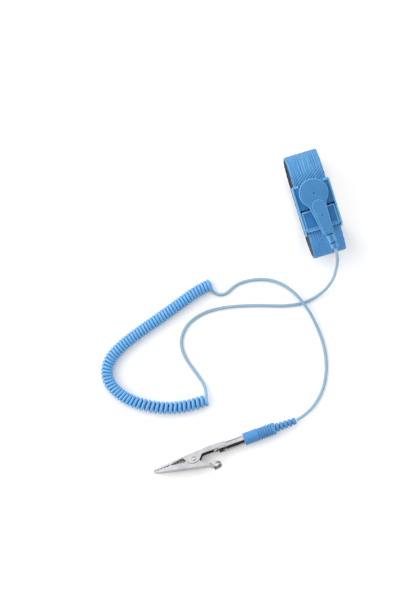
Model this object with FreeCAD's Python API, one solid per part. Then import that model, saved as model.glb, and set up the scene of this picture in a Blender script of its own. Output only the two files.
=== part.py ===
import FreeCAD, Part
import math
import os

# Wrist strap that ties a person to ground: an elastic band with a clasp, a snap connector,
# a curly cord and an alligator clip on a banana plug.
# Millimetres, +Z up. The band stands on the floor at z = 0, its clasp on top.
# +X runs along the wrist, +Y round it, away from the cord. Origin under the band's middle.

V = FreeCAD.Vector
X_AXIS = V(1, 0, 0)
Y_AXIS = V(0, 1, 0)
Z_AXIS = V(0, 0, 1)
ORIGIN = V(0, 0, 0)

# Band
BAND_WIDTH = 18.9
BAND_THICKNESS = 1.65
LINING_THICKNESS = 0.45
LINING_WIDTH = 19.3
LINING_SHIFT = -0.2
LOOP_LENGTH = 59.2
LOOP_HEIGHT = 42.15
LOOP_TOP_RADIUS = 15.0
LOOP_FOOT_RADIUS = 21.0
FIXED_END_Y = 0.6
FREE_END_Y = -0.9

# Clasp
CLASP_HALF_WIDTH = 11.0
CLASP_WALL = 1.15
CLASP_TOP_Y = 11.75
CLASP_LOW_Y = -15.75
TRAY_BOTTOM_Z = 38.9
TRAY_FLOOR_Z = 40.0
DECK_BOTTOM_Z = 42.45
DECK_TOP_Z = 44.2
WALL_TOP_Z = 45.0
DECK_LOW_Y = -2.2
HOOK_WIDTH = 3.0
HOOK_LENGTH = 1.6
PLATE_HALF_WIDTH = 10.2
PLATE_THICKNESS = 0.5
EAR_REACH = 0.7

# Lock lever
LEVER_HALF_WIDTH = 9.6
LEVER_FREE_Y = -3.35
LEVER_END_Y = -15.0
LEVER_PIN_Y = -13.6
LEVER_PIN_Z = 43.5
LEVER_PIN_RADIUS = 0.7
LEVER_BORE_CLEARANCE = 0.05
LEVER_PLATE_BOTTOM_Z = 43.1
LEVER_PLATE_TOP_Z = 44.25
LEVER_RIM_TOP_Z = 44.7
LEVER_RIM_WIDTH = 0.95
LEVER_BARREL_RADIUS = 1.0

# Snap stud and socket, all round the stud's own axis
STUD_Y = 5.25
STUD_RADIUS = 5.0
STUD_BASE_Z = 44.2
STUD_TOP_Z = 47.6
RIVET_RADIUS = 1.2
RING_WIRE_RADIUS = 0.35
RING_CLEARANCE = 0.05
RING_Z = 46.1
SOCKET_RADIUS = 6.4
SOCKET_BOTTOM_Z = 45.0
SOCKET_TOP_Z = 48.9

# Snap connector, with its own X axis along the tail
TAIL_ANGLE = 4.6
HEAD_RADIUS = 8.2
HEAD_BOTTOM_Z = 45.3
HEAD_TOP_Z = 50.7
TAIL_LENGTH = 23.7
TAIL_START_X = 6.0
TAIL_START_HALF_WIDTH = 4.95
TAIL_END_HALF_WIDTH = 3.0
TAIL_SHIFT = -0.4
TAIL_BLEND_RADIUS = 3.0
TAIL_BOTTOM_Z = 46.9
LUG_TOP_Z = 51.5
LUG_NOSE_X = 8.0
LUG_NOSE_RADIUS = 3.85
LUG_END_HALF_WIDTH = 2.6
PIN_MARK_X = 13.2
WIRE_AXIS_Z = 48.9
CORD_AXIS_Z = 48.8
RELIEF_LENGTH = 9.2
RELIEF_START_RADIUS = 2.45
RELIEF_END_RADIUS = 2.0

# Cord
CORD_RADIUS = 0.9
COIL_RADIUS = 3.65
CONDUCTOR_RADIUS = 0.4

# Plug, with its own X axis towards the clip's tip and its own Y in the plane of the jaws
PLUG_X = -76.7
PLUG_Y = -116.2
PLUG_Z = 3.7
PLUG_HEADING = 183.0
CLIP_ROLL = 20.0
GRIP_RADIUS = 3.52
GRIP_LENGTH = 18.9
PLUG_RELIEF_LENGTH = 12.5
PIN_RADIUS = 1.3

# Alligator clip, in the plug's axes
BARREL_RADIUS = 2.5
BARREL_BORE_RADIUS = 2.05
BARREL_START = 0.25
BARREL_END = 11.0
SHEET = 0.5
JAW_TIP_X = 54.4
PIVOT_X = 30.6
PIVOT_Y = 1.46
RIVET_SHAFT_RADIUS = 0.8
EAR_HALF_WIDTH = 2.95
LOWER_HALF_WIDTH = 2.3
TIP_HALF_WIDTH = 1.4
PAD_X = 20.2
PAD_Y = 8.44
PAD_RADIUS = 3.6
PAD_HOLE_RADIUS = 1.65
PAD_TWIST = 13.0
TOOTH_PITCH = 2.0
TOOTH_DEPTH = 0.75
TOOTH_FADE = 0.1

# Free stretches of the cord, from the connector to the coil and from the coil to the plug
LEAD_SNAP_ROUTE = [
    (2.5, -32.1, 48.8),
    (1.1, -36.6, 45.6),
    (-0.3, -39.6, 36.5),
    (-1.5, -42.5, 25.0),
    (-4.2, -45.7, 13.0),
    (-8.2, -48.6, 4.2),
    (-15.1, -51.1, 1.0),
    (-23.2, -52.1, 1.0),
    (-32.7, -50.4, 1.0),
    (-43.7, -46.6, 1.0),
    (-55.2, -43.2, 1.0),
    (-67.2, -40.7, 1.0),
    (-78.7, -40.5, 1.0),
    (-89.4, -44.4, 1.0),
    (-95.5, -52.6, 1.0),
    (-95.3, -62.1, 1.0),
    (-91.8, -71.8, 1.0),
    (-89.2, -79.5, 1.2),
    (-89.6, -84.8, 3.5),
]
LEAD_SNAP_END = (-90.3, -88.7, 5.9)
COIL_ROUTE = [
    (-89.4, -88.5),
    (-100.8, -89.1),
    (-113.8, -86.6),
    (-126.2, -80.8),
    (-136.2, -72.6),
    (-141.9, -61.1),
    (-137.8, -50.7),
    (-127.6, -44.7),
    (-114.8, -40.1),
    (-100.7, -35.6),
    (-86.5, -30.7),
    (-76.7, -27.3),
    (-68.4, -26.2),
]
LEAD_CLIP_START = (-69.3, -25.2, 1.0)
LEAD_CLIP_ROUTE = [
    (-69.7, -28.8, 1.0),
    (-68.2, -32.1, 1.0),
    (-65.2, -33.9, 1.0),
    (-61.6, -33.9, 1.0),
    (-56.7, -31.0, 1.0),
    (-50.2, -30.1, 1.0),
    (-40.7, -31.6, 1.0),
    (-32.4, -35.7, 2.0),
    (-25.5, -43.3, 5.8),
    (-20.5, -54.6, 5.8),
    (-18.0, -66.7, 2.0),
    (-17.4, -79.6, 1.0),
    (-19.9, -91.8, 1.0),
    (-25.1, -102.2, 1.0),
    (-32.4, -109.3, 1.3),
    (-39.7, -113.2, 3.6),
]

SOLIDS = {}


def box(x0, x1, y0, y1, z0, z1):
    return Part.makeBox(x1 - x0, y1 - y0, z1 - z0, V(x0, y0, z0))


def rod(radius, start, end):
    start = V(*start)
    end = V(*end)
    return Part.makeCylinder(radius, (end - start).Length, start, end - start)


def prism(points, direction):
    """A polygon given by its corners, swept along a direction."""
    corners = [V(*p) for p in points]
    return Part.Face(Part.makePolygon(corners + corners[:1])).extrude(V(*direction))


def turned_z(profile, x=0.0, y=0.0):
    """A solid of revolution round a vertical axis, from (radius, z) corners."""
    corners = [V(x + r, y, z) for r, z in profile]
    face = Part.Face(Part.makePolygon(corners + corners[:1]))
    return face.revolve(V(x, y, 0), Z_AXIS, 360)


def turned_x(profile):
    """A solid of revolution round the X axis, from (x, radius) corners."""
    corners = [V(x, 0, r) for x, r in profile]
    face = Part.Face(Part.makePolygon(corners + corners[:1]))
    return face.revolve(ORIGIN, X_AXIS, 360)


def round_edges(shape, radius, keep):
    """Fillet the edges that keep() accepts."""
    edges = [e for e in shape.Edges if keep(e)]
    return shape.makeFillet(radius, edges)


def at_height(z, tolerance=0.01):
    return lambda e: all(abs(v.Point.z - z) < tolerance for v in e.Vertexes)


def save(name, shape):
    shape = shape.removeSplitter()
    solids = shape.Solids
    for solid in solids:
        if not solid.isValid() or solid.Volume <= 0:
            raise ValueError(name + " has a bad solid")
    whole = solids[0] if len(solids) == 1 else Part.makeCompound(solids)
    whole.exportStep("parts/" + name + ".step")
    SOLIDS[name] = whole
    print(f"{name:22s} solids {len(solids)}  volume {whole.Volume:9.2f} mm3")


def in_connector(shape):
    """Turn a shape built along +X, round the stud's axis, into the tail's direction."""
    shape.rotate(ORIGIN, Z_AXIS, -90 + TAIL_ANGLE)
    shape.translate(V(0, STUD_Y, 0))
    return shape


def in_plug(shape, roll=0.0):
    """Put a shape built along +X, round the plug's axis, where the plug lies."""
    shape.rotate(ORIGIN, X_AXIS, roll)
    shape.rotate(ORIGIN, Z_AXIS, PLUG_HEADING)
    shape.translate(V(PLUG_X, PLUG_Y, PLUG_Z))
    return shape


def plug_point(x, y=0.0, z=0.0):
    turn = math.radians(PLUG_HEADING)
    return (PLUG_X + x * math.cos(turn) - y * math.sin(turn),
            PLUG_Y + x * math.sin(turn) + y * math.cos(turn),
            PLUG_Z + z)


def connector_point(x, z):
    turn = math.radians(-90 + TAIL_ANGLE)
    return (x * math.cos(turn), STUD_Y + x * math.sin(turn), z)


def tube(name, points, radius):
    """Straight runs joined by tangent arcs, each as large as its two runs allow."""
    points = [V(*p) for p in points]
    edges = []
    last = points[0]
    radii = []
    for before, corner, after in zip(points, points[1:], points[2:]):
        back = before - corner
        ahead = after - corner
        reach = 0.45 * min(back.Length, ahead.Length)
        half_turn = (math.pi - back.getAngle(ahead)) / 2
        radii.append(reach / math.tan(half_turn))
        back.normalize()
        ahead.normalize()
        arc_start = corner + back * reach
        arc_end = corner + ahead * reach
        inward = back + ahead
        inward.normalize()
        to_centre = radii[-1] / math.cos(half_turn)
        arc_middle = corner + inward * (to_centre - radii[-1])
        edges.append(Part.LineSegment(last, arc_start).toShape())
        edges.append(Part.Arc(arc_start, arc_middle, arc_end).toShape())
        last = arc_end
    edges.append(Part.LineSegment(last, points[-1]).toShape())
    path = Part.Wire(edges)
    section = Part.Wire(Part.makeCircle(radius, points[0], points[1] - points[0]))
    solid = path.makePipeShell([section], True, True)
    swept = math.pi * radius ** 2 * path.Length
    print(name, "length", round(path.Length, 1), "radii", [round(r, 1) for r in radii],
          "volume / section x length", round(solid.Volume / swept, 4))
    return solid


# ---------------------------------------------------------------- wristband

def rivet_hole():
    return rod(RIVET_RADIUS, (0, STUD_Y, TRAY_BOTTOM_Z - 10), (0, STUD_Y, DECK_TOP_Z + 5))


def lever_axle(radius, half_length):
    return rod(radius, (-half_length, LEVER_PIN_Y, LEVER_PIN_Z), (half_length, LEVER_PIN_Y, LEVER_PIN_Z))


def loop_face(inset):
    """The band's outline seen along the wrist, moved inwards by inset."""
    half = LOOP_LENGTH / 2 - inset
    foot = LOOP_FOOT_RADIUS - inset
    top = LOOP_TOP_RADIUS - inset
    low = inset
    high = LOOP_HEIGHT - inset
    diagonal = math.sqrt(0.5)

    def corner(sign, centre_y, centre_z, radius, up):
        start = V(0, sign * (centre_y + radius), centre_z)
        middle = V(0, sign * (centre_y + radius * diagonal), centre_z + up * radius * diagonal)
        end = V(0, sign * centre_y, centre_z + up * radius)
        return start, middle, end

    low_right = corner(1, half - foot, low + foot, foot, -1)
    low_left = corner(-1, half - foot, low + foot, foot, -1)
    top_right = corner(1, half - top, high - top, top, 1)
    top_left = corner(-1, half - top, high - top, top, 1)
    edges = [Part.Arc(*c).toShape() for c in (low_right, low_left, top_right, top_left)]
    edges.append(Part.LineSegment(low_right[2], low_left[2]).toShape())
    edges.append(Part.LineSegment(low_right[0], top_right[0]).toShape())
    edges.append(Part.LineSegment(low_left[0], top_left[0]).toShape())
    edges.append(Part.LineSegment(top_right[2], top_left[2]).toShape())
    return Part.Face(Part.Wire(Part.__sortEdges__(edges)))


def band_layer(outer_inset, inner_inset, x0, x1):
    ring = loop_face(outer_inset).extrude(V(x1 - x0, 0, 0))
    ring = ring.cut(loop_face(inner_inset).extrude(V(x1 - x0, 0, 0)))
    ring.translate(V(x0, 0, 0))
    ring = ring.cut(box(-30, 30, FREE_END_Y, FIXED_END_Y, TRAY_BOTTOM_Z, LOOP_HEIGHT + 1))
    return ring.cut(rivet_hole())


def elastic_band():
    half = BAND_WIDTH / 2
    return band_layer(0, BAND_THICKNESS, -half, half)


def conductive_lining():
    """Silver-fibre inner layer, set slightly to one side of the band."""
    half = LINING_WIDTH / 2
    inner = BAND_THICKNESS + LINING_THICKNESS
    return band_layer(BAND_THICKNESS, inner, LINING_SHIFT - half, LINING_SHIFT + half)


def clasp_base():
    w = CLASP_HALF_WIDTH
    inner = w - CLASP_WALL
    body = box(-w, w, CLASP_LOW_Y, CLASP_TOP_Y, TRAY_BOTTOM_Z, WALL_TOP_Z)
    body = round_edges(body, 1.2, lambda e: abs(e.Vertexes[0].Z - e.Vertexes[-1].Z) > 1)
    body = round_edges(body, 0.35, at_height(WALL_TOP_Z))
    # the well over the lever, and the shallower well over the deck
    body = body.cut(box(-inner, inner, CLASP_LOW_Y - 1, DECK_LOW_Y, DECK_BOTTOM_Z, WALL_TOP_Z + 1))
    body = body.cut(box(-inner, inner, DECK_LOW_Y - 1, CLASP_TOP_Y + 1, DECK_TOP_Z, WALL_TOP_Z + 1))
    # the passage of the band, open at both ends
    passage = box(-inner, inner, CLASP_LOW_Y - 1, CLASP_TOP_Y + 1, TRAY_FLOOR_Z, DECK_BOTTOM_Z)
    body = body.cut(passage)
    # raised hooks at the upper corners, over the band
    hook_top = WALL_TOP_Z - 0.1
    for x0 in (-inner, inner - HOOK_WIDTH):
        hook = box(x0, x0 + HOOK_WIDTH, CLASP_TOP_Y - HOOK_LENGTH, CLASP_TOP_Y, DECK_TOP_Z, hook_top)
        body = body.fuse(round_edges(hook, 0.3, at_height(hook_top)))
    # a slim rib along the deck's upper edge
    body = body.fuse(box(-inner, inner, CLASP_TOP_Y - 0.5, CLASP_TOP_Y, DECK_TOP_Z, DECK_TOP_Z + 0.3))
    body = body.cut(lever_axle(LEVER_PIN_RADIUS, w + 1))
    return body.cut(rivet_hole())


def contact_plate():
    """Stainless plate against the skin, with two ears at the lever's end."""
    w = PLATE_HALF_WIDTH
    bottom = TRAY_BOTTOM_Z - PLATE_THICKNESS
    plate = box(-w, w, CLASP_LOW_Y - 0.6, CLASP_TOP_Y + 0.3, bottom, TRAY_BOTTOM_Z)
    w += EAR_REACH
    ears = box(-w, w, CLASP_LOW_Y - 0.9, CLASP_LOW_Y + 1.6, bottom, TRAY_BOTTOM_Z)
    plate = round_edges(plate, 1.0, lambda e: abs(e.Vertexes[0].Z - e.Vertexes[-1].Z) > 0.4)
    ears = round_edges(ears, 0.4, lambda e: abs(e.Vertexes[0].Z - e.Vertexes[-1].Z) > 0.4)
    return plate.fuse(ears).cut(rivet_hole())


def lever_pin():
    return lever_axle(LEVER_PIN_RADIUS, CLASP_HALF_WIDTH - 0.15)


def lock_lever():
    """Cam lever over the band's free end: a rimmed tile on a round hinge barrel."""
    w = LEVER_HALF_WIDTH
    tile = box(-w, w, LEVER_END_Y, LEVER_FREE_Y, LEVER_PLATE_BOTTOM_Z, LEVER_RIM_TOP_Z)
    tile = round_edges(tile, 0.6, lambda e: abs(e.Vertexes[0].Z - e.Vertexes[-1].Z) > 0.4)
    tile = round_edges(tile, 0.3, at_height(LEVER_RIM_TOP_Z))
    rim = LEVER_RIM_WIDTH
    tile = tile.cut(box(rim - w, w - rim, LEVER_END_Y + rim, LEVER_FREE_Y - rim,
                        LEVER_PLATE_TOP_Z, LEVER_RIM_TOP_Z + 1))
    tile = tile.fuse(lever_axle(LEVER_BARREL_RADIUS, w))
    # gripping ridges on the underside, over the band's free end
    for i in range(3):
        y = LEVER_PIN_Y + 2.2 + 1.1 * i
        z = LEVER_PLATE_BOTTOM_Z
        tile = tile.fuse(prism([(-7, y, z), (-7, y + 0.7, z), (-7, y + 0.35, z - 0.4)], (14, 0, 0)))
    return tile.cut(lever_axle(LEVER_PIN_RADIUS + LEVER_BORE_CLEARANCE, w + 1))


def snap_stud():
    """Hollow pressed stud, ten millimetres over its bulge."""
    base = STUD_BASE_Z
    neck = STUD_RADIUS - 0.6
    outer = [(0, base), (5.6, base), (5.6, base + 0.4), (neck, base + 0.4), (neck, base + 0.9),
             (STUD_RADIUS, base + 1.3), (STUD_RADIUS, base + 2.5), (STUD_RADIUS - 0.5, STUD_TOP_Z - 0.2),
             (STUD_RADIUS - 1.2, STUD_TOP_Z), (0, STUD_TOP_Z)]
    stud = turned_z(outer, 0, STUD_Y)
    inside = neck - 0.5
    hollow = [(0, base + 0.5), (inside, base + 0.5), (inside, STUD_TOP_Z - 0.6), (0, STUD_TOP_Z - 0.6)]
    stud = stud.cut(turned_z(hollow, 0, STUD_Y))
    return stud.cut(rod(RIVET_RADIUS, (0, STUD_Y, base - 1), (0, STUD_Y, base + 1)))


def stud_rivet():
    """Ties the stud, the clasp, the band's fixed end and the contact plate together."""
    low = TRAY_BOTTOM_Z - PLATE_THICKNESS
    top = STUD_BASE_Z + 0.5
    profile = [(0, low - 0.35), (2.2, low - 0.35), (2.5, low - 0.05), (2.5, low), (RIVET_RADIUS, low),
               (RIVET_RADIUS, top), (2.1, top), (2.1, top + 0.35), (1.6, top + 0.6), (0, top + 0.6)]
    return turned_z(profile, 0, STUD_Y)


# ---------------------------------------------------------------- snap connector

def socket_ring():
    """Split spring ring that grips the stud."""
    middle = STUD_RADIUS + RING_CLEARANCE + RING_WIRE_RADIUS
    ring = Part.makeTorus(middle, RING_WIRE_RADIUS, V(0, 0, RING_Z))
    ring = ring.cut(box(0, 9, -0.6, 0.6, RING_Z - 1, RING_Z + 1))
    return in_connector(ring)


def snap_socket():
    """Female cup of the snap, with a groove for its spring ring."""
    mouth = STUD_RADIUS + 0.35
    groove = STUD_RADIUS + RING_CLEARANCE + 2 * RING_WIRE_RADIUS + 0.1
    low = RING_Z - RING_WIRE_RADIUS - 0.1
    high = RING_Z + RING_WIRE_RADIUS + 0.1
    profile = [(mouth, SOCKET_BOTTOM_Z), (SOCKET_RADIUS, SOCKET_BOTTOM_Z), (SOCKET_RADIUS, SOCKET_TOP_Z),
               (0, SOCKET_TOP_Z), (0, SOCKET_TOP_Z - 0.6), (mouth, SOCKET_TOP_Z - 0.6), (mouth, high),
               (groove, high), (groove, low), (mouth, low)]
    return in_connector(turned_z(profile))


def terminal_tab():
    """Brass strip welded on the socket's top, notched for the resistor's wire."""
    tab = box(3.5, 9.5, -1.3, 1.3, SOCKET_TOP_Z, SOCKET_TOP_Z + 0.3)
    tab = tab.cut(rod(0.25, (7.4, 0, WIRE_AXIS_Z), (12, 0, WIRE_AXIS_Z)))
    return in_connector(tab)


def resistor_body():
    x0 = 10.5
    profile = [(x0, 0), (x0, 0.9), (x0 + 0.3, 1.15), (x0 + 1.3, 1.15), (x0 + 1.5, 1.0), (x0 + 4.7, 1.0),
               (x0 + 4.9, 1.15), (x0 + 5.9, 1.15), (x0 + 6.2, 0.9), (x0 + 6.2, 0)]
    body = turned_x(profile)
    body.translate(V(0, 0, WIRE_AXIS_Z))
    return in_connector(body)


def resistor_leads():
    z = WIRE_AXIS_Z
    front = rod(0.25, (7.4, 0, z), (10.5, 0, z))
    back = rod(0.25, (16.7, 0, z), (19.6, 0, z))
    return in_connector(Part.makeCompound([front, back]))


def lead_crimp():
    """Barrel crimp between the resistor's wire and the cord's conductor."""
    z = WIRE_AXIS_Z
    sleeve = rod(0.8, (18.2, 0, z), (22.0, 0, z))
    sleeve = sleeve.cut(rod(0.25, (18.0, 0, z), (19.6, 0, z)))
    sleeve = sleeve.cut(rod(CONDUCTOR_RADIUS, (19.6, 0, CORD_AXIS_Z), (23.0, 0, CORD_AXIS_Z)))
    return in_connector(sleeve)


def conductor_ends():
    """Stripped ends of the cord inside the two mouldings."""
    snap_end = rod(CONDUCTOR_RADIUS, (19.6, 0, CORD_AXIS_Z), (TAIL_LENGTH + RELIEF_LENGTH, 0, CORD_AXIS_Z))
    start = -GRIP_LENGTH - PLUG_RELIEF_LENGTH
    clip_end = rod(CONDUCTOR_RADIUS, (start, 0, 0), (-12.4, 0, 0))
    return Part.makeCompound([in_connector(snap_end), in_plug(clip_end)])


def flange():
    """Round head drawn out into a tapered tail, with a hollow blend at each side where they meet."""
    low = TAIL_BOTTOM_Z
    head = rod(HEAD_RADIUS, (0, 0, low), (0, 0, HEAD_TOP_Z))
    x0, x1 = TAIL_START_X, TAIL_LENGTH
    wide, slim = TAIL_START_HALF_WIDTH, TAIL_END_HALF_WIDTH
    tail = prism([(x0, TAIL_SHIFT - wide, low), (x1, TAIL_SHIFT - slim, low),
                  (x1, TAIL_SHIFT + slim, low), (x0, TAIL_SHIFT + wide, low)], (0, 0, HEAD_TOP_Z - low))

    def side_corner(e):
        return x0 < e.Vertexes[0].X < LUG_NOSE_X and e.Vertexes[0].Z != e.Vertexes[-1].Z

    whole = round_edges(head.fuse(tail).removeSplitter(), TAIL_BLEND_RADIUS, side_corner)
    return round_edges(whole, 0.7, at_height(HEAD_TOP_Z))


def lug_solid():
    """Raised lug with a round nose, along the middle of the tail."""
    low = TAIL_BOTTOM_Z + 2
    x0, x1 = LUG_NOSE_X, TAIL_LENGTH
    wide, slim = LUG_NOSE_RADIUS, LUG_END_HALF_WIDTH
    wedge = prism([(x0, -wide, low), (x1, -slim, low), (x1, slim, low), (x0, wide, low)],
                  (0, 0, LUG_TOP_Z - low))
    lug = wedge.fuse(rod(wide, (x0, 0, low), (x0, 0, LUG_TOP_Z))).removeSplitter()
    return round_edges(lug, 0.45, at_height(LUG_TOP_Z))


def connector_shell():
    skirt = rod(HEAD_RADIUS, (0, 0, HEAD_BOTTOM_Z), (0, 0, TAIL_BOTTOM_Z + 0.5))
    skirt = round_edges(skirt, 0.3, at_height(HEAD_BOTTOM_Z))
    shell = flange().fuse(skirt).fuse(lug_solid()).removeSplitter()
    # pin marks left by the mould
    shell = shell.cut(rod(0.45, (0, 0, HEAD_TOP_Z - 0.7), (0, 0, HEAD_TOP_Z + 1)))
    shell = shell.cut(rod(0.4, (PIN_MARK_X, 0, LUG_TOP_Z - 0.7), (PIN_MARK_X, 0, LUG_TOP_Z + 1)))
    # room for what is moulded in
    shell = shell.cut(rod(SOCKET_RADIUS, (0, 0, SOCKET_BOTTOM_Z - 1), (0, 0, SOCKET_TOP_Z)))
    shell = in_connector(shell)
    for name in ("terminal_tab", "resistor_body", "resistor_leads", "lead_crimp", "conductor_ends"):
        shell = shell.cut(SOLIDS[name])
    return shell


def snap_strain_relief():
    """Tapered, slit relief moulded round the cord's end."""
    x0 = TAIL_LENGTH
    x1 = TAIL_LENGTH + RELIEF_LENGTH
    r0, r1 = RELIEF_START_RADIUS, RELIEF_END_RADIUS
    cone = Part.makeCone(r0, r1, RELIEF_LENGTH, V(x0, 0, CORD_AXIS_Z), X_AXIS)
    cone = round_edges(cone, 0.4, lambda e: abs(e.BoundBox.XMin - x1) < 0.01)
    # slits across the top and the bottom, one behind the other
    for along, width, depth in ((0.5, 0.75, 1.3), (2.3, 0.3, 0.35), (3.9, 0.3, 0.35), (5.6, 0.75, 1.1)):
        x = x0 + along
        radius = r0 + (r1 - r0) * along / RELIEF_LENGTH
        cone = cone.cut(box(x, x + width, -4, 4, CORD_AXIS_Z + radius - depth, CORD_AXIS_Z + 4))
        cone = cone.cut(box(x, x + width, -4, 4, CORD_AXIS_Z - 4, CORD_AXIS_Z - radius + depth))
    return in_connector(cone).cut(SOLIDS["conductor_ends"])


# ---------------------------------------------------------------- plug

def plug_grip():
    """Round grip with a rimmed front, grooves towards the back and a stepped end."""
    r = GRIP_RADIUS
    back = -GRIP_LENGTH
    profile = [(0, 0), (0, r - 0.25), (-0.25, r + 0.05), (-0.9, r + 0.05), (-1.2, r - 0.12), (-1.5, r)]
    for i in range(6):
        x = -8.6 - 1.5 * i
        profile += [(x, r), (x - 0.2, r - 0.45), (x - 0.6, r - 0.45), (x - 0.8, r)]
    profile += [(back + 1.0, r), (back + 0.5, r - 0.2), (back, r - 0.5), (back, 0)]
    grip = in_plug(turned_x(profile))
    for name in ("banana_pin", "plug_crimp", "conductor_ends"):
        grip = grip.cut(SOLIDS[name])
    return grip


def plug_strain_relief():
    """Five rounded rings on a thin core."""
    back = -GRIP_LENGTH
    core = rod(1.35, (back, 0, 0), (back - PLUG_RELIEF_LENGTH, 0, 0))
    pitch = PLUG_RELIEF_LENGTH / 5
    for i in range(5):
        x = back - pitch * i - 0.35
        r = 2.4 - 0.1 * i
        ring = rod(r, (x, 0, 0), (x - pitch + 0.65, 0, 0))
        ring = round_edges(ring, 0.45, lambda e: e.Curve.TypeId == "Part::GeomCircle")
        core = core.fuse(ring)
    return in_plug(core).cut(SOLIDS["conductor_ends"])


def banana_pin():
    """Turned pin with a waist for the spring cage, and a solder cup at its back."""
    r = PIN_RADIUS
    profile = [(-9.5, 0), (-9.5, 1.1), (-7.5, 1.1), (-7.5, 1.7), (-5.5, 1.7), (-5.5, 1.3), (-3.5, 1.3),
               (-3.5, 1.7), (1.7, 1.7), (1.7, r), (15.9, r), (15.9, 1.7), (17.0, 1.6), (18.2, 1.0),
               (18.6, 0.4), (18.6, 0)]
    return in_plug(turned_x(profile))


def plug_crimp():
    """Ferrule that joins the conductor to the banana pin."""
    ferrule = rod(1.5, (-9.5, 0, 0), (-14.5, 0, 0)).cut(rod(CONDUCTOR_RADIUS, (-12.4, 0, 0), (-15, 0, 0)))
    return in_plug(ferrule)


def banana_spring():
    """Lantern of bowed leaves that turns on the pin's waist."""
    inner = PIN_RADIUS + RING_CLEARANCE
    wall = 0.2
    shape = [(1.9, inner), (3.0, inner), (5.5, 1.75), (12.0, 1.75), (14.6, inner), (15.7, inner)]
    profile = shape + [(x, r + wall + (0.05 if r > 1.5 else 0.0)) for x, r in reversed(shape)]
    cage = turned_x(profile)
    for angle in (0, 90):
        slot = box(3.2, 14.4, -0.25, 0.25, -3, 3)
        slot.rotate(ORIGIN, X_AXIS, 45 + angle)
        cage = cage.cut(slot)
    return in_plug(cage)


# ---------------------------------------------------------------- alligator clip

def channel(side, plan, inner_side, inner_plan, deep):
    """A sheet channel: a side outline and a plan outline, less the same moved inwards."""
    outer = prism([(x, y, -deep) for x, y in side], (0, 0, 2 * deep))
    outer = outer.common(prism([(x, -30, z) for x, z in plan], (0, 60, 0)))
    inner = prism([(x, y, -deep) for x, y in inner_side], (0, 0, 2 * deep))
    inner = inner.common(prism([(x, -30, z) for x, z in inner_plan], (0, 60, 0)))
    return outer.cut(inner)


def mirrored(half_plan):
    """A plan outline from its +z half, given from the back to the tip."""
    return half_plan + [(x, -z) for x, z in reversed(half_plan)]


def teeth(first_x, count, towards):
    """Notches along the line where the jaws meet; towards is +1 or -1 in y."""
    notches = []
    for i in range(count):
        x = first_x + TOOTH_PITCH * i
        tip = towards * (TOOTH_DEPTH - TOOTH_FADE * i)
        over = -towards * 0.3
        notches.append(prism([(x, over, -5), (x + TOOTH_PITCH * 0.95, over, -5),
                              (x + TOOTH_PITCH * 0.35, tip, -5)], (0, 0, 10)))
    return notches


def clip_upper_jaw():
    """Upper jaw, neck and rolled barrel, pressed from one sheet."""
    side = [(10.6, -2.4), (16.0, -2.7), (22.0, -2.55), (27.0, -2.2), (37.0, -1.8), (53.4, -1.0),
            (JAW_TIP_X, -0.6), (JAW_TIP_X, -0.06), (44.4, -0.06), (43.4, -0.2), (37.0, -1.25), (36.1, -0.9),
            (34.6, 2.2), (33.2, 3.2), (31.6, 3.75), (30.0, 3.8), (28.6, 3.4), (27.3, 2.5), (25.4, 0.2),
            (24.6, 0.1), (10.6, 0.1)]
    half = [(10.6, 2.45), (16.0, 2.6), (24.0, EAR_HALF_WIDTH), (36.0, EAR_HALF_WIDTH),
            (JAW_TIP_X, TIP_HALF_WIDTH)]
    inner_side = [(9.0, -2.4 + SHEET), (16.0, -2.7 + SHEET), (22.0, -2.55 + SHEET), (27.0, -2.2 + SHEET),
                  (37.0, -1.8 + SHEET), (53.9, -0.98 + SHEET), (53.9, 9.0), (9.0, 9.0)]
    inner_half = [(9.0, 2.45 - SHEET + 0.05), (16.0, 2.1), (24.0, EAR_HALF_WIDTH - SHEET),
                  (36.0, EAR_HALF_WIDTH - SHEET), (53.9, TIP_HALF_WIDTH - SHEET)]
    jaw = channel(side, mirrored(half), inner_side, mirrored(inner_half), 6)
    barrel = rod(BARREL_RADIUS, (BARREL_START, 0, 0), (BARREL_END, 0, 0))
    # crimp wings: a shorter roll, open below
    wings = rod(BARREL_RADIUS, (11.9, 0, 0), (15.4, 0, 0))
    bore = rod(BARREL_BORE_RADIUS, (-1, 0, 0), (16, 0, 0))
    sleeve = barrel.fuse(wings).cut(bore)
    sleeve = sleeve.cut(box(BARREL_END, 16, 0.6, 4, -1.3, 1.3))
    sleeve = sleeve.cut(box(-1, BARREL_END + 0.1, 0.6, 4, -0.15, 0.15))
    jaw = jaw.fuse(sleeve).cut(bore)
    for notch in teeth(44.5, 5, -1):
        jaw = jaw.cut(notch)
    hole = rod(RIVET_SHAFT_RADIUS, (PIVOT_X, PIVOT_Y, -6), (PIVOT_X, PIVOT_Y, 6))
    return in_plug(jaw.cut(hole), CLIP_ROLL)


def thumb_pad():
    """Pierced round pad with a turned-up rim, twisted a little about the clip's length."""
    x, y = PAD_X, PAD_Y
    pad = rod(PAD_RADIUS, (x, y - 2, 0), (x, y + 2, 0))
    pad = pad.common(prism([(x + 4, y - 0.34, -5), (x + 4, y - 0.34 - SHEET, -5),
                            (x - 4, y + 0.34 - SHEET, -5), (x - 4, y + 0.34, -5)], (0, 0, 10)))
    rim = rod(PAD_RADIUS, (x, y - 0.15, 0), (x, y + 1.15, 0))
    rim = rim.cut(rod(PAD_RADIUS - SHEET, (x, y - 1, 0), (x, y + 2, 0)))
    rim = rim.cut(box(x + 1.3, x + 6, y - 2, y + 3, -5, 5))
    pad = pad.fuse(rim).cut(rod(PAD_HOLE_RADIUS, (x - 0.4, y - 3, 0), (x - 0.4, y + 3, 0)))
    pad.rotate(V(x, y, 0), X_AXIS, PAD_TWIST)
    return pad


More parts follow.
